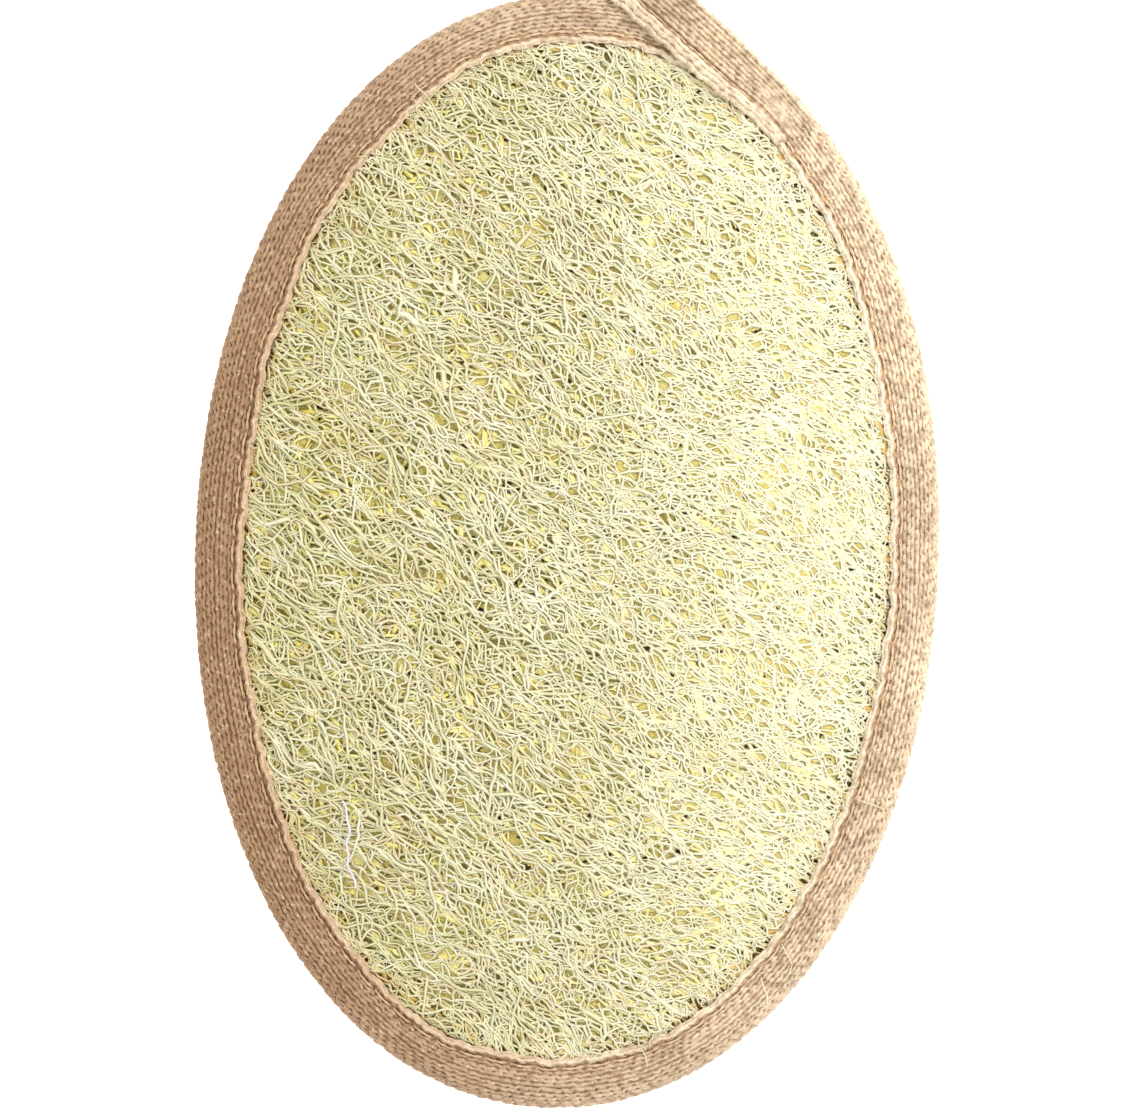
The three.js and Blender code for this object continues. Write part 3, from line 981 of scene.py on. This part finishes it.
def tape_point(share, inward, height):
    lip = smooth_step(4.6, 7.6, inward)
    swell = math.cos(2 * math.pi * STITCHES * share)
    edge = outline_point(rim_angle(share), 0)
    wander = noise.noise(Vector((edge.x / 16, edge.y / 16, 4.0 if height > 0 else 6.0)))
    fine = noise.noise(Vector((edge.x / 4.3, edge.y / 4.3, 7.5)))
    shifted = inward + lip * (0.16 * swell + 0.34 * fine) + 0.85 * wander * inward / TAPE_COVER
    if height > 0:
        height += lip * (0.20 * swell + 0.16 * fine)
    spot = outline_point(rim_angle(share), shifted)
    return metres(spot.x, spot.y, tuck_lift(spot.x, spot.y, RIM_MIDDLE + height))


print("one stitch every", round(RIM_LENGTH / STITCHES, 2), "mm")

# %% [markdown]
# The cloth itself is made as on a lathe: its closed section is spun a full turn and then every
# point is carried over to the oval. It is the ground that shows between the yarns, darker than
# them as painted shade.

# %% Cloth of the tape
SPIN_RADIUS = 200.0
CLOTH_STEPS = 204
SECTION_STEPS = 20
YARN_COVER = 0.26
CLOTH_DEPTH = 0.80


def cloth_section():
    """The closed section of the cloth, from just under the yarns to its inner face."""
    outer, inner = [], []
    for k in range(SECTION_STEPS + 1):
        inward, height, out = tape_section(GIRTH * k / SECTION_STEPS)
        outer.append((inward - YARN_COVER * out.x, height - YARN_COVER * out.y))
        inner.append((inward - CLOTH_DEPTH * out.x, height - CLOTH_DEPTH * out.y))
    return outer + inner[::-1]


cloth_bm = bmesh.new()
rim_verts = [cloth_bm.verts.new((SPIN_RADIUS - i, 0, h)) for i, h in cloth_section()]
rim_edges = [cloth_bm.edges.new((a, b)) for a, b in zip(rim_verts, rim_verts[1:] + rim_verts[:1])]
bmesh.ops.spin(
    cloth_bm,
    geom=rim_verts + rim_edges,
    cent=(0, 0, 0),
    axis=(0, 0, 1),
    angle=2 * math.pi,
    steps=CLOTH_STEPS,
    use_merge=True,
)
bmesh.ops.remove_doubles(cloth_bm, verts=cloth_bm.verts[:], dist=1e-4)
for vert in cloth_bm.verts:
    turn = math.atan2(vert.co.y, vert.co.x) / (2 * math.pi)
    vert.co = tape_point(turn, SPIN_RADIUS - math.hypot(vert.co.x, vert.co.y), vert.co.z)
bmesh.ops.recalc_face_normals(cloth_bm, faces=cloth_bm.faces[:])
tape_cloth = finish_piece("tape_cloth", mesh_of(cloth_bm, "tape_cloth"), [weft_shade_finish])
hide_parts("binding_tape")

# %% [markdown]
# The yarns run lengthwise in columns three quarters of a millimetre apart. Each passes over a few
# crossing yarns and under the next, so it shows as a row of floats, slim lozenges about 1.8 mm
# long. In twill each column starts its floats a quarter later than its neighbour, and in
# herringbone the steps turn back every few columns. A yarn is swept along the rim as one endless
# run whose thickness and height follow the floats. It lies flatter on the lip, where the cloth is
# stretched, and thinner and deeper in the groove, where the seam presses it down.

# %% Yarns round the rim
FLOATS = 258
COLUMN_WIDTH = 0.74
YARN_RADIUS = 0.385
YARN_DEPTH = 0.14
LIP_START = 7.1
FLOAT_POINTS = [(0.0, 0.70, -0.16), (0.34, 1.0, 0.02), (0.70, 0.96, 0.0)]
HERRINGBONE = [0.0, 0.25, 0.5, 0.75, 1.0, 0.75, 0.5, 0.25]


def yarn_run(rng, girth, column):
    phase = HERRINGBONE[column % len(HERRINGBONE)]
    lean = 0.17 if (column // 4) % 2 == 0 else -0.17
    at_inward = tape_section(girth)[0]
    sunk = max(0.0, 1 - abs(at_inward - GROOVE - 0.2) / 0.7)
    on_lip = at_inward > LIP_START
    soft = 0.45 if on_lip else 1.0
    points = []
    for n in range(FLOATS):
        size = rng.uniform(0.82, 1.14) * (1 - 0.2 * sunk)
        shift = rng.gauss(0, 0.06)
        for part, thick, lift in FLOAT_POINTS:
            share = (n + part + phase + rng.uniform(-0.09, 0.09)) / FLOATS
            inward, height, out = tape_section(girth + shift + lean * (2 * part - 0.7))
            raised = lift * soft - YARN_DEPTH - 0.12 * sunk + rng.gauss(0, 0.03)
            place = tape_point(share, inward + out.x * raised, height + out.y * raised)
            points.append((place, YARN_RADIUS * (1 - (1 - thick) * soft) * size))
    return points, LIT_ON_LIP if on_lip else IN_GROOVE if sunk > 0.1 else PLAIN


def yarn_columns(first, last):
    rng = random.Random(first + 5)
    return [yarn_run(rng, (column + 0.5) * COLUMN_WIDTH, column) for column in range(first, last)]


COLUMNS = int(GIRTH / COLUMN_WIDTH)
FRONT_COLUMNS = COLUMNS // 2 + 1
tape_yarns_front = swept_piece("tape_yarns_front", yarn_columns(0, FRONT_COLUMNS), yarn_finishes,
                               "cotton_tape", cyclic=True)
tape_yarns_back = swept_piece("tape_yarns_back", yarn_columns(FRONT_COLUMNS, COLUMNS), yarn_finishes,
                              "cotton_tape", sides=4, cyclic=True)
print("columns of yarn:", COLUMNS)

# %% [markdown]
# ## The hanging loop
# At the upper right the tape leaves the rim in a straight line, turns on edge, bends round into
# the loop, and comes back face down under the top of the rim, where it is sewn in. Its route is
# the one of the solid: a smooth curve through fifteen points, with the turn of the tape given
# at each of them.

# %% Route of the loop
LOOP_TAPE_WIDTH = 9.0
LOOP_TAPE_THICK = 1.7
LOOP_REACH = 50.0
LOOP_HALF_WIDTH = 15.5
LEAVE_ANGLE = math.radians(63.5)
FRAME_COUNT = 1200
STRAP_GROOVE = 1.85
STRAP_GROOVE_START = 1.4
STRAP_LIP = 2.2
STRAP_STITCH = 4.5
TAIL_TURNS = [0, 0, 0, 0, -6, -58, -88, -90, -90, -90, -92, -125, -173, -180, -180]


def tail_stations():
    on_rim = TAPE_COVER / 2
    leave = outline_point(LEAVE_ANGLE, on_rim)
    before = outline_point(LEAVE_ANGLE - 0.1, on_rim)
    earlier = outline_point(LEAVE_ANGLE - 0.2, on_rim)
    heading = (leave - before).normalized()
    crossing = leave + heading * 18
    past = leave + heading * 32
    top = HALF_LENGTH + LOOP_REACH
    wide = LOOP_HALF_WIDTH
    edge_on = LOOP_TAPE_WIDTH / 2 + 0.15
    low = LOOP_TAPE_THICK / 2 + 0.03
    return [Vector(spot) for spot in (
        (*earlier, RIM_HEIGHT - 0.55), (*before, RIM_HEIGHT - 0.38), (*leave, RIM_HEIGHT - 0.12),
        (*crossing, RIM_HEIGHT + 0.1), (*past, RIM_HEIGHT - 0.7),
        (-0.78 * wide, top - 31, edge_on + 0.15), (-wide, top - 16, edge_on),
        (-0.62 * wide, top - 3.6, edge_on), (0, top, edge_on), (0.62 * wide, top - 3.6, edge_on),
        (wide, top - 16, edge_on), (0.72 * wide, top - 31, edge_on - 0.2),
        (0.3 * wide, HALF_LENGTH + 8, low + 0.95), (0.05 * wide, HALF_LENGTH - 0.5, low + 0.12),
        (-0.14 * wide, HALF_LENGTH - 6.2, low),
    )]


def smooth_route(stations, per_span):
    """A centripetal curve through the stations, as (place, station number) samples."""
    first = stations[0] * 2 - stations[1]
    last = stations[-1] * 2 - stations[-2]
    padded = [first, *stations, last]
    samples = []
    for k in range(len(stations) - 1):
        a, b, c, d = padded[k:k + 4]
        t1 = (b - a).length ** 0.5
        t2 = t1 + (c - b).length ** 0.5
        t3 = t2 + (d - c).length ** 0.5
        for n in range(per_span + (k == len(stations) - 2)):
            t = t1 + (t2 - t1) * n / per_span
            ab = a * ((t1 - t) / t1) + b * (t / t1)
            bc = b * ((t2 - t) / (t2 - t1)) + c * ((t - t1) / (t2 - t1))
            cd = c * ((t3 - t) / (t3 - t2)) + d * ((t - t2) / (t3 - t2))
            abc = ab * ((t2 - t) / t2) + bc * (t / t2)
            bcd = bc * ((t3 - t) / (t3 - t1)) + cd * ((t - t1) / (t3 - t1))
            place = abc * ((t2 - t) / (t2 - t1)) + bcd * ((t - t1) / (t2 - t1))
            samples.append((place, k + n / per_span))
    return samples


ROUTE = smooth_route(tail_stations(), 40)
ROUTE_LENGTHS = [0.0]
for (place_a, _), (place_b, _) in zip(ROUTE, ROUTE[1:]):
    ROUTE_LENGTHS.append(ROUTE_LENGTHS[-1] + (place_b - place_a).length)
LOOP_LENGTH = ROUTE_LENGTHS[-1]
print("tape of the loop is", round(LOOP_LENGTH), "mm long")

# %% [markdown]
# At any share of its length the strap has a middle, a direction across its face and a direction
# out of it. The first comes from the route, the other two from the turn of the tape there. Where
# the strap comes out from under the binding it is a little narrower and thinner.


# %% Points on the loop
def loop_frame(share):
    """The strap's middle at a share of its length, and its directions across and outwards."""
    goal = min(1.0, max(0.0, share)) * LOOP_LENGTH
    k = min(len(ROUTE) - 2, sum(1 for length in ROUTE_LENGTHS[1:-1] if length <= goal))
    part = (goal - ROUTE_LENGTHS[k]) / (ROUTE_LENGTHS[k + 1] - ROUTE_LENGTHS[k])
    (place_a, t_a), (place_b, t_b) = ROUTE[k], ROUTE[k + 1]
    place = place_a.lerp(place_b, part)
    slot = min(len(TAIL_TURNS) - 1.000001, t_a + (t_b - t_a) * part)
    n = int(slot)
    blend = 0.5 * smooth_step(0, 1, slot - n) + 0.5 * (slot - n)
    turn = math.radians(TAIL_TURNS[n] + (TAIL_TURNS[n + 1] - TAIL_TURNS[n]) * blend)
    near, far = ROUTE[max(0, k - 4)][0], ROUTE[min(len(ROUTE) - 1, k + 5)][0]
    along = (far - near).normalized()
    level = Vector((-along.y, along.x, 0)).normalized()
    upright = along.cross(level)
    across = level * math.cos(turn) + upright * math.sin(turn)
    off = along.cross(across).normalized()
    grown = smooth_step(0.02, 0.11, share)
    return place, across * (0.80 + 0.20 * grown), off * (0.42 + 0.58 * grown)


LOOP_FRAMES = [loop_frame(k / FRAME_COUNT) for k in range(FRAME_COUNT + 1)]


def loop_point(share, sideways, outward):
    """A point of the strap. Sideways is positive towards its open, sewn edge."""
    place, across, off = LOOP_FRAMES[min(FRAME_COUNT, max(0, round(share * FRAME_COUNT)))]
    edge = smooth_step(1.2, 4.0, sideways)
    swell = math.cos(2 * math.pi * share * LOOP_LENGTH / STRAP_STITCH)
    sideways += 0.16 * swell * edge
    spot = place + across * sideways + off * outward
    return metres(spot.x, spot.y, max(0.06, spot.z))


def strap_half_thickness(sideways):
    """Half the strap's thickness, with the thick lip, the groove and the rounded long edges."""
    groove = max(0.0, 1 - abs(sideways - STRAP_GROOVE) / 0.7)
    lip = max(0.0, 1 - ((sideways - 3.35) / 1.3) ** 2)
    rounded = max(0.0, 1 - (LOOP_TAPE_WIDTH / 2 - abs(sideways)) / 0.9)
    body = LOOP_TAPE_THICK / 2 * (0.45 + 0.55 * math.sqrt(1 - rounded ** 2))
    return body - 0.55 * groove + 1.05 * lip


print("strap frames:", len(LOOP_FRAMES))

# %% [markdown]
# The strap is the same tape folded double, so its section is a flat U that is open at the sewn
# edge. A flat grid is rolled up into that section, its two long sides are merged, and its two
# ends are closed.

# %% Cloth of the loop
FOLD_EDGE = LOOP_TAPE_WIDTH / 2 - 0.3
CLOTH_WALL = 0.42


def strap_section():
    across = [FOLD_EDGE - (2 * FOLD_EDGE - CLOTH_WALL) * k / 11 for k in range(12)]
    tops = [strap_half_thickness(sideways) - YARN_COVER for sideways in across]
    slit = [(sideways, max(0.02, top - CLOTH_WALL)) for sideways, top in zip(across, tops)]
    outer = list(zip(across, tops)) + [(-FOLD_EDGE, 0.25)]
    upper_half = slit[::-1] + outer
    return upper_half + [(sideways, -height) for sideways, height in upper_half[::-1]]


STRAP_SECTION = strap_section()
strap_bm = bmesh.new()
bmesh.ops.create_grid(strap_bm, x_segments=170, y_segments=len(STRAP_SECTION), size=1.0)
for vert in strap_bm.verts:
    share = (vert.co.x + 1) / 2
    corner = round((vert.co.y + 1) / 2 * len(STRAP_SECTION)) % len(STRAP_SECTION)
    vert.co = loop_point(share, *STRAP_SECTION[corner])
bmesh.ops.remove_doubles(strap_bm, verts=strap_bm.verts[:], dist=1e-7)
open_edges = [edge for edge in strap_bm.edges if edge.is_boundary]
bmesh.ops.holes_fill(strap_bm, edges=open_edges, sides=0)
bmesh.ops.recalc_face_normals(strap_bm, faces=strap_bm.faces[:])
loop_cloth = finish_piece("loop_cloth", mesh_of(strap_bm, "loop_cloth"), [weft_shade_finish])

# %% [markdown]
# The strap's yarns run along both faces in the same columns and floats as those of the rim. Five
# more go along its two long edges, four of them one above the other over the thick sewn lip,
# which shows its side at the upper right of the pad.

# %% Yarns of the loop
LOOP_FLOATS = round(LOOP_LENGTH / 1.8)
EDGE_YARN_RADIUS = 0.46


def strap_yarns():
    rng = random.Random(31)
    runs = []
    for side in (1, -1):
        for column in range(12):
            sideways = (column - 5.5) * COLUMN_WIDTH
            half = strap_half_thickness(sideways)
            phase = HERRINGBONE[column % len(HERRINGBONE)]
            points = []
            for n in range(LOOP_FLOATS):
                size = rng.uniform(0.9, 1.08)
                for part, thick, lift in FLOAT_POINTS:
                    share = (n + part + phase * 0.98) / (LOOP_FLOATS + 1)
                    lean = 0.1 * (2 * part - 0.7) * (1 if (column // 4) % 2 == 0 else -1)
                    place = loop_point(share, sideways + lean, side * (half + lift - YARN_DEPTH))
                    swell = 1.3 if sideways > STRAP_LIP else 1.0
                    points.append((place, YARN_RADIUS * thick * size * swell))
            in_groove = sideways > STRAP_GROOVE_START
            runs.append((points, LIT_ON_LIP if sideways > STRAP_LIP else IN_GROOVE if in_groove else PLAIN))
    for edge, level in ((1, 1.12), (1, 0.56), (1, 0.0), (1, -0.6), (-1, 0.0)):
        points = []
        for n in range(LOOP_FLOATS):
            for part, thick, lift in FLOAT_POINTS:
                share = (n + part + 0.4) / (LOOP_FLOATS + 1)
                place = loop_point(share, edge * (LOOP_TAPE_WIDTH / 2 - 0.28 + lift), level)
                points.append((place, EDGE_YARN_RADIUS * thick))
        runs.append((points, LIT_ON_LIP if edge > 0 else PLAIN))
    return runs


loop_yarns = swept_piece("loop_yarns", strap_yarns(), yarn_finishes, "cotton_tape", sides=4)

# %% [markdown]
# ## The seam
# One row of lockstitches, in thread of the tape's own colour, holds tape and loofah together.
# On each face the thread comes up, runs along the groove for a stitch and dives again. It is two
# strands twisted together, so each stitch is swept as two thin runs that wind round each other.


# %% Stitches
STITCH_SHARE = 0.86
STITCH_POINTS = 7
STITCH_DIVE = 0.45
PLY_RADIUS = 0.14
PLY_OFFSET = 0.12
SEAM_HEIGHT = 2.62


def stitch_runs(point_at, count, first=0.0, last=1.0):
    runs = []
    for n in range(count):
        middle = (n + 0.5) / count
        if not first <= middle <= last:
            continue
        for ply in (0, math.pi):
            points = []
            for k in range(STITCH_POINTS):
                along = (k / (STITCH_POINTS - 1) - 0.5) * STITCH_SHARE
                dive = abs(2 * along / STITCH_SHARE) ** 4
                turn = ply + k * 1.25
                place = point_at((n + 0.5 + along) / count, PLY_OFFSET * math.cos(turn),
                                 PLY_OFFSET * math.sin(turn) - STITCH_DIVE * dive)
                points.append((place, PLY_RADIUS))
            runs.append((points, 0))
    return runs


def front_seam(share, aside, lift):
    return tape_point(share, GROOVE + aside, SEAM_HEIGHT + lift)


def back_seam(share, aside, lift):
    return tape_point(share, GROOVE + aside, -SEAM_HEIGHT - lift)


def strap_seam(share, aside, lift):
    return loop_point(share, STRAP_GROOVE + aside, LOOP_TAPE_THICK / 2 - 0.1 + lift)


front_stitches = stitch_runs(front_seam, STITCHES)
front_stitches += stitch_runs(strap_seam, round(LOOP_LENGTH / STRAP_STITCH), 0.02, 0.97)
seam_front = swept_piece("seam_front", front_stitches, [thread_finish], "sewing_thread", sides=4)
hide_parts("seam_thread_front")
back_stitches = stitch_runs(back_seam, STITCHES)
seam_back = swept_piece("seam_back", back_stitches, [thread_finish], "sewing_thread", sides=4)
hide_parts("seam_thread_back")

# %% [markdown]
# ## Last touches
# A few small things make the pad look used and real. Some of them lie at places that can be
# pointed out in the picture, so a first helper turns a point of the picture into a place on the
# pad, and a second finds the height of the tape or of the net there.


# %% Places seen in the picture
PICTURE_WIDTH = 1122
PICTURE_MIDDLE = (561, 556)
PICTURE_SCALE = VIEW_WIDTH / MM / PICTURE_WIDTH
TAPE_HALF_HEIGHT = 3.15
TAPE_ROUNDING = 3


def picture_spot(column, row):
    """The place on the pad, in millimetres, under a point of the picture."""
    right = picture_right * (column - PICTURE_MIDDLE[0]) * PICTURE_SCALE
    up = picture_up * (PICTURE_MIDDLE[1] - row) * PICTURE_SCALE
    flat = view_middle / MM + right + up
    return flat.x, flat.y


def resting_height(x, y):
    """The top of the tape or of the net at a place."""
    if room(x, y, TAPE_COVER) < 1:
        return crown_height(x, y) + 0.1
    inside = max(0.0, depth_share(x, y) * HALF_WIDTH)
    edge = 1 - min(1.0, inside / TAPE_ROUNDING)
    return RIM_MIDDLE + TAPE_HALF_HEIGHT * math.sqrt(max(0.0, 1 - edge ** 2))


print("picture scale:", round(PICTURE_SCALE, 4), "mm to a point")

# %% [markdown]
# Short ends of the net stand up along the lip, where the edge of the loofah was cut. About one
# in five lies over the lip, and the others dive below it.

# %% Ends of the net along the lip
FRINGE_ENDS = 620
OVER_LIP = 6.42
UNDER_LIP = 4.9

fringe_rng = random.Random(41)
fringe_runs = []
for _ in range(FRINGE_ENDS):
    angle = rim_angle(fringe_rng.random())
    start = outline_point(angle, TAPE_COVER + fringe_rng.uniform(0.3, 2.6))
    outward = (outline_point(angle, 0) - outline_point(angle, 1)).normalized()
    heading = math.atan2(outward.y, outward.x) + fringe_rng.gauss(0, 1.1)
    length = fringe_rng.uniform(1.6, 4.2)
    over_lip = fringe_rng.random() < 0.22
    if over_lip:
        length = min(length, 2.6)
    points = []
    for k in range(5):
        x = start.x + length * k / 4 * math.cos(heading)
        y = start.y + length * k / 4 * math.sin(heading)
        level = crown_height(x, y) + 0.6 - 0.3 * (k / 4) ** 2
        if room(x, y, TAPE_COVER - 0.1) > 1:
            level = OVER_LIP if over_lip else min(level, UNDER_LIP)
        points.append((metres(x, y, level), 0.16 * (1 - 0.4 * k / 4)))
        heading += fringe_rng.gauss(0, 0.35)
    fringe_runs.append((points, fringe_rng.choice([0, 2, 2, 3])))
swept_piece("net_fringe", fringe_runs, top_fibres, "loofah", section=fibre_section)

# %% [markdown]
# A few fibres have worked loose and lie over the tape, most of them at the lower right, and one
# pale thread lies on the loofah at the lower left.

# %% Loose fibres and thread
LOOSE_SPOTS = [
    (782, 944, -70), (792, 965, -110), (761, 977, -80), (764, 990, -60), (770, 955, 200), (742, 985, 170),
    (690, 72, 20), (860, 800, -20), (640, 1046, -60), (330, 905, 20), (430, 100, 120),
]
LOOSE_STEPS = 7
LOOSE_RADIUS = 0.12
LOOSE_ARCH = 0.3
THREAD_POINTS = 22
THREAD_RADIUS = 0.16


def loose_run(rng, x, y, heading, length):
    """A fibre that follows the surface from a place, arched a little clear of it."""
    points = []
    for k in range(LOOSE_STEPS + 1):
        arch = LOOSE_ARCH * math.sin(math.pi * k / LOOSE_STEPS)
        level = resting_height(x, y) + LOOSE_RADIUS + arch
        taper = 1 - 0.4 * abs(2 * k / LOOSE_STEPS - 1)
        points.append((metres(x, y, level), LOOSE_RADIUS * taper))
        heading += rng.gauss(0, 0.12)
        x += length / LOOSE_STEPS * math.cos(heading)
        y += length / LOOSE_STEPS * math.sin(heading)
    return points


loose_rng = random.Random(42)
loose_runs = []
for column, row, turn in LOOSE_SPOTS:
    x, y = picture_spot(column, row)
    length = loose_rng.uniform(2.5, 4.6)
    points = loose_run(loose_rng, x, y, math.radians(turn), length)
    loose_runs.append((points, loose_rng.choice([0, 1, 3])))
swept_piece("loose_fibres", loose_runs, top_fibres, "loofah", section=fibre_section)

thread_start = picture_spot(343, 800)
thread_end = picture_spot(355, 888)
thread_points = []
for k in range(THREAD_POINTS):
    share = k / (THREAD_POINTS - 1)
    x = thread_start[0] + (thread_end[0] - thread_start[0]) * share
    x += 0.5 * math.sin(7 * share)
    x += 0.2 * math.sin(23 * share)
    y = thread_start[1] + (thread_end[1] - thread_start[1]) * share
    level = crown_height(x, y) + 0.55 + 0.15 * math.sin(9 * share)
    thread_points.append((metres(x, y, level), THREAD_RADIUS))
swept_piece("pale_thread", [(thread_points, 0)], [stray_finish], "sewing_thread", sides=6)

# %% [markdown]
# Cotton sheds a little lint. Each hair stands on the tape, leans over and tapers to its tip.

# %% Lint of the cotton
LINT_HAIRS = 620

lint_runs = []
for _ in range(LINT_HAIRS):
    share = loose_rng.random()
    inward, height, out = tape_section(loose_rng.uniform(0.4, GIRTH - 0.4))
    base = tape_point(share, inward, height)
    share += loose_rng.uniform(-0.0022, 0.0022)
    aside = inward + out.x * 0.5 + loose_rng.gauss(0, 0.35)
    tip = tape_point(share, aside, height + out.y * loose_rng.uniform(0.25, 0.6))
    bow = (tip - base).cross(Vector((0, 0, 1))) * loose_rng.gauss(0, 0.3)
    lint_runs.append(([(base, 0.05), (base.lerp(tip, 0.5) + bow, 0.045), (tip, 0.025)], 0))
swept_piece("tape_lint", lint_runs, [lint_finish], "cotton_tape", sides=4)

# %% [markdown]
# The three sections were only helpers for the sweeps, so they go.

# %% Clear away the sections
for section in (fibre_section, ridge_section, web_section):
    bpy.data.objects.remove(section)
